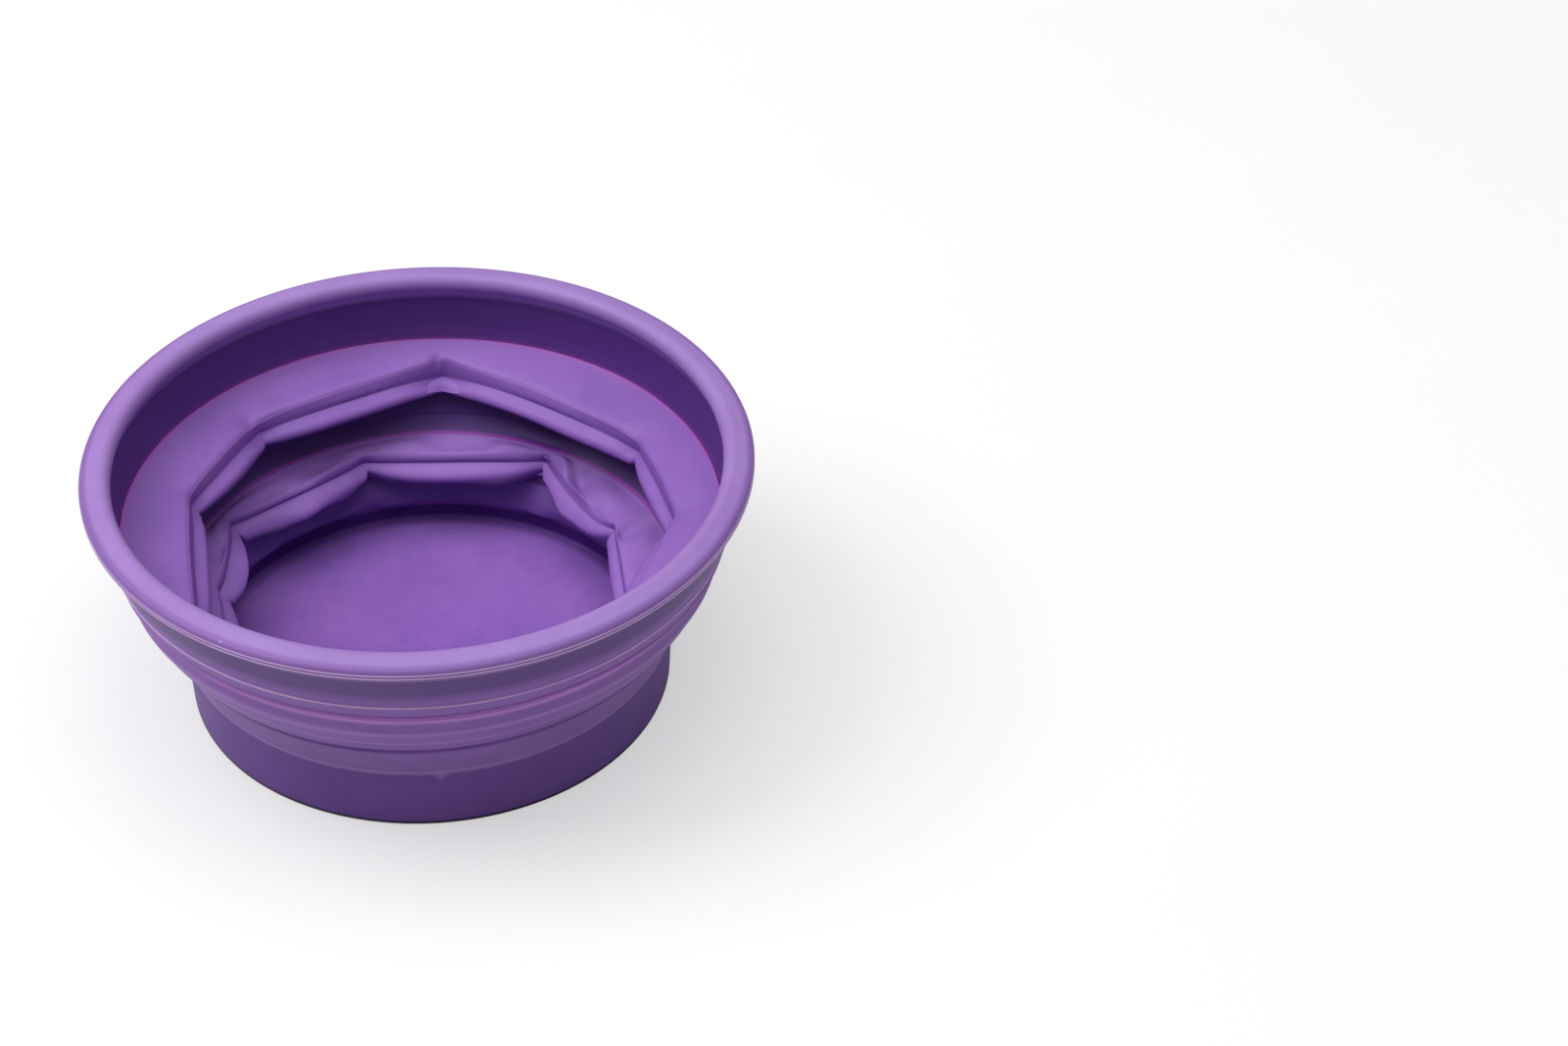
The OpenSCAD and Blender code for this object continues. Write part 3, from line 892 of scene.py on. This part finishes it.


# colours are in sRGB; shades (from, to, softness, strength, tint) are bands of painted shade and
# creases (place, width, strength, tint) are painted highlights, pink light and dark lines of
# shade, both measured along the run of the wall map
plainLook = {
    "deep": (132, 91, 174),
    "pale": (154, 110, 194),
    "mottle": 0.9,
    "mottleScale": 38.0,
    "mottleFineness": 7,
    "shades": [],
    "creases": [],
    "dustScale": 190.0,
    "dustSize": 0.05,
    "dustShare": 0.05,
    "dustStrength": 0.55,
    "dustTint": (214, 196, 232),
    "roughness": 0.5,
    "roughnessSwing": 0.12,
    "specular": 0.5,
    "grain": 0.18,
    "grainDepth": 0.0002,
}


def finished(pieces, **changes):
    for obj in pieces:
        obj.data.materials.append(siliconeMaterial(obj.name + "Silicone", {**plainLook, **changes}))


# painted light and shade: pink light along thin creases, highlights on edges and fine lines, and shade under
# folds, in hollows and inside the walls
paintedPinkLight, paintedDimPinkLight, paintedHighlight = (162, 74, 180), (128, 44, 150), (226, 194, 242)
deepShade, softShade, faceShade, edgeShade = (60, 20, 106), (84, 52, 124), (88, 50, 134), (118, 72, 154)
# painted shade down the inner wall of the top body
innerShade = (topPlace["rimIn"] - 0.8, topPlace["end"], 1.6, 0.78, deepShade)
finished(
    # the rim's colour, paler and greyer than the rest of the silicone, is painted light on its top
    [rimBead], pale=(165, 131, 200), deep=(149, 113, 186), specular=0.35,
    # painted shade over the rim's outer round and down its inside
    shades=[(topPlace["rimOut"] - 1, topPlace["rimEdge"] + 1.8, 1.0, 0.6, edgeShade), innerShade],
    # painted highlights along the two fine mould lines
    creases=[(place, 0.15, 0.95, paintedHighlight) for mark, place in topPlace.items() if mark.startswith("rib")],
)
finished(
    [upperBand, hingeLip], specular=0.3,
    shades=[
        # painted shade under the lip's bead, under the rim and down the inside
        (-1.0, topPlace["bead"] - 0.4, 0.5, 0.3, softShade),
        (topPlace["rimOut"] - 7.2, topPlace["rimOut"] + 2, 4.0, 0.8, softShade),
        innerShade,
    ],
    creases=[
        # a painted highlight on the outer ledge, and painted pink light along the lip's bead and along the
        # inner crease
        (topPlace["ledgeOut"], 0.3, 0.95, paintedHighlight),
        (topPlace["bead"], 0.6, 0.5, (186, 118, 204)),
        (topPlace["ledgeIn"] + 3.4, 0.8, 0.7, paintedPinkLight),
    ],
)
finished(
    [middleBand], specular=0.3,
    shades=[
        # painted shade over the lower bead and on the inside
        (-2.0, middlePlace["bead"] + 0.9, 1.2, 0.5, softShade),
        (middlePlace["inside"], middlePlace["end"], 1.0, 0.85, deepShade),
    ],
    creases=[
        # painted highlights on the raised line, the collar and the shoulder
        (middlePlace["line"], 0.16, 0.6, paintedHighlight),
        (middlePlace["collar"] - 0.6, 0.6, 1.0, (206, 142, 222)),
        (middlePlace["shoulder"], 0.9, 0.5, (186, 148, 216)),
    ],
)
finished(
    # a little darker than the plain silicone as painted shade, painted shade on the inside and a painted
    # highlight along the lower edge
    [skirtBand], deep=(128, 90, 167), pale=(150, 110, 188), specular=0.3,
    shades=[(basePlace["skirtTop"] + 2.4, basePlace["end"], 1.0, 0.75, deepShade)],
    creases=[(basePlace["skirtEdge"], 0.25, 0.3, paintedHighlight)],
)
finished(
    # darker than the plain silicone: painted shade under the skirt
    [footWall], deep=(106, 71, 149), pale=(123, 86, 167), specular=0.25,
    shades=[
        # a painted shadow along the bottom edge, and painted shade inside below the crease
        (-1.0, basePlace["base"] + 0.7, 0.6, 0.92, (22, 10, 38)),
        (basePlace["crease"] + 0.4, basePlace["end"], 0.6, 0.9, deepShade),
    ],
    # painted dim pink light along the inner crease
    creases=[(basePlace["crease"], 0.3, 0.75, paintedDimPinkLight)],
)
finished(
    [floorDisc], deep=(124, 86, 176), pale=(156, 108, 192), specular=0.12, dustShare=0.03,
    # painted shade round the floor's edge
    shades=[(basePlace["floorIn"] - 2, basePlace["floorIn"] + 2.4, 4.2, 0.9, deepShade)],
)
frontEnd = webShape["backCount"] - 1
upperBend, lowerBend = bendPlaces(upperWebForm), bendPlaces(lowerWebForm)
finished(
    [upperWeb], deep=(130, 90, 174), pale=(152, 109, 192), specular=0.3,
    shades=[
        # painted shade on the face under the ridge and under the lip
        (upperBend["ridge"] + 0.7, upperBend["groove"] + 0.1, 0.9, 0.3, faceShade),
        (upperBend["nose"] + 0.9, frontEnd, 0.8, 0.85, deepShade),
    ],
    creases=[
        # painted pink light along the hinge, and a painted dark line of shade in the groove
        (0.2, 1.1, 0.5, (150, 88, 178)),
        (0.1, 0.45, 0.8, paintedPinkLight),
        (upperBend["groove"], 0.14, 0.2, deepShade),
    ],
)
finished(
    # lighter than the plain silicone: painted light on the tread
    [lowerWeb], deep=(138, 96, 182), pale=(160, 116, 200), specular=0.3,
    shades=[
        # painted shade on the riser, on the face under the ridge and under the lip
        (-1.0, lowerBend["ring"] - 0.25, 0.3, 0.85, deepShade),
        (lowerBend["ridge"] + 0.2, lowerBend["groove"] + 0.1, 0.9, 0.5, faceShade),
        (lowerBend["nose"] + 0.9, frontEnd, 0.8, 0.7, deepShade),
    ],
    creases=[
        # painted pink light along the ring, and a painted dark line of shade in the groove
        (lowerBend["ring"] - 0.1, 0.3, 0.95, (146, 54, 166)),
        (lowerBend["groove"], 0.14, 0.5, deepShade),
    ],
)
print("materials ready")

# floor, backdrop and light, in metres
studio = {
    "half": 6.0,
    "bounceLevel": 0.55,
    "seenLevels": (0.96, 0.94),
    "grainScale": 22.0,
    "grainDetail": 4.0,
    "roughness": 0.85,
    "roughnessSwing": 0.1,
    "glow": 0.985,
    "seenGlow": 0.5,  # share of plain white that the camera sees in the floor
    "zenith": 0.45,
    "horizon": 0.22,
    # name, place, target, size, power
    "lamps": [
        ("keyLight", (-0.8, -0.05, 1.1), (0, 0, 0.03), 0.9, 9.0),
        ("topLight", (0.0, -0.1, 1.5), (0, 0, 0.03), 1.6, 11.5),
    ],
}


def paleFloorMaterial():
    m = bpy.data.materials.new("paleFloor")
    m.use_nodes = True
    t = m.node_tree
    shader = t.nodes["Principled BSDF"]
    shader.inputs["Specular IOR Level"].default_value = 0.0
    place = t.nodes.new("ShaderNodeTexCoord").outputs["Object"]
    grain = addNoise(t, place, studio["grainScale"], studio["grainDetail"])
    rough = addMath(t, "ADD", addMath(t, "MULTIPLY", grain, studio["roughnessSwing"]), studio["roughness"])
    t.links.new(rough, shader.inputs["Roughness"])
    path = t.nodes.new("ShaderNodeLightPath")
    seen = addMath(t, "MAXIMUM", path.outputs["Is Camera Ray"], path.outputs["Is Glossy Ray"])
    bounce, first, second = ([level] * 3 for level in (studio["bounceLevel"], *studio["seenLevels"]))
    colour = addMix(t, seen, bounce, addMix(t, grain, first, second))
    t.links.new(colour, shader.inputs["Base Color"])
    glow = t.nodes.new("ShaderNodeEmission")
    glow.inputs["Color"].default_value = (1, 1, 1, 1)
    glow.inputs["Strength"].default_value = studio["glow"]
    blend = t.nodes.new("ShaderNodeMixShader")
    t.links.new(addMath(t, "MULTIPLY", path.outputs["Is Camera Ray"], studio["seenGlow"]), blend.inputs[0])
    t.links.new(shader.outputs[0], blend.inputs[1])
    t.links.new(glow.outputs[0], blend.inputs[2])
    t.links.new(blend.outputs[0], t.nodes["Material Output"].inputs["Surface"])
    return m


def studioFloor():
    mesh = bpy.data.meshes.new("studioFloor")
    h = studio["half"]
    mesh.from_pydata([(-h, -h, 0), (h, -h, 0), (h, h, 0), (-h, h, 0)], [], [(0, 1, 2, 3)])
    obj = bpy.data.objects.new("studioFloor", mesh)
    bpy.context.scene.collection.objects.link(obj)
    obj.data.materials.append(paleFloorMaterial())


def areaLight(name, place, target, size, power):
    light = bpy.data.lights.new(name, "AREA")
    light.shape = "DISK"
    light.size = size
    light.energy = power
    obj = bpy.data.objects.new(name, light)
    obj.location = place
    obj.rotation_euler = (Vector(target) - Vector(place)).to_track_quat("-Z", "Y").to_euler()
    bpy.context.scene.collection.objects.link(obj)


def studioWorld():
    # brighter overhead than at the horizon, like a wide diffuser
    world = bpy.data.worlds.new("studioWorld")
    world.use_nodes = True
    t = world.node_tree
    up = t.nodes.new("ShaderNodeSeparateXYZ")
    t.links.new(t.nodes.new("ShaderNodeTexCoord").outputs["Generated"], up.inputs[0])
    lift = addMath(t, "MAXIMUM", up.outputs["Z"], 0.0)
    gain = addMath(t, "MULTIPLY", lift, studio["zenith"] - studio["horizon"])
    level = addMath(t, "ADD", gain, studio["horizon"])
    t.links.new(level, t.nodes["Background"].inputs["Strength"])
    t.nodes["Background"].inputs["Color"].default_value = (1, 1, 1, 1)
    bpy.context.scene.world = world


studioFloor()
for lamp in studio["lamps"]:
    areaLight(*lamp)
studioWorld()
bpy.context.scene.view_settings.view_transform = "Standard"
print("light ready")
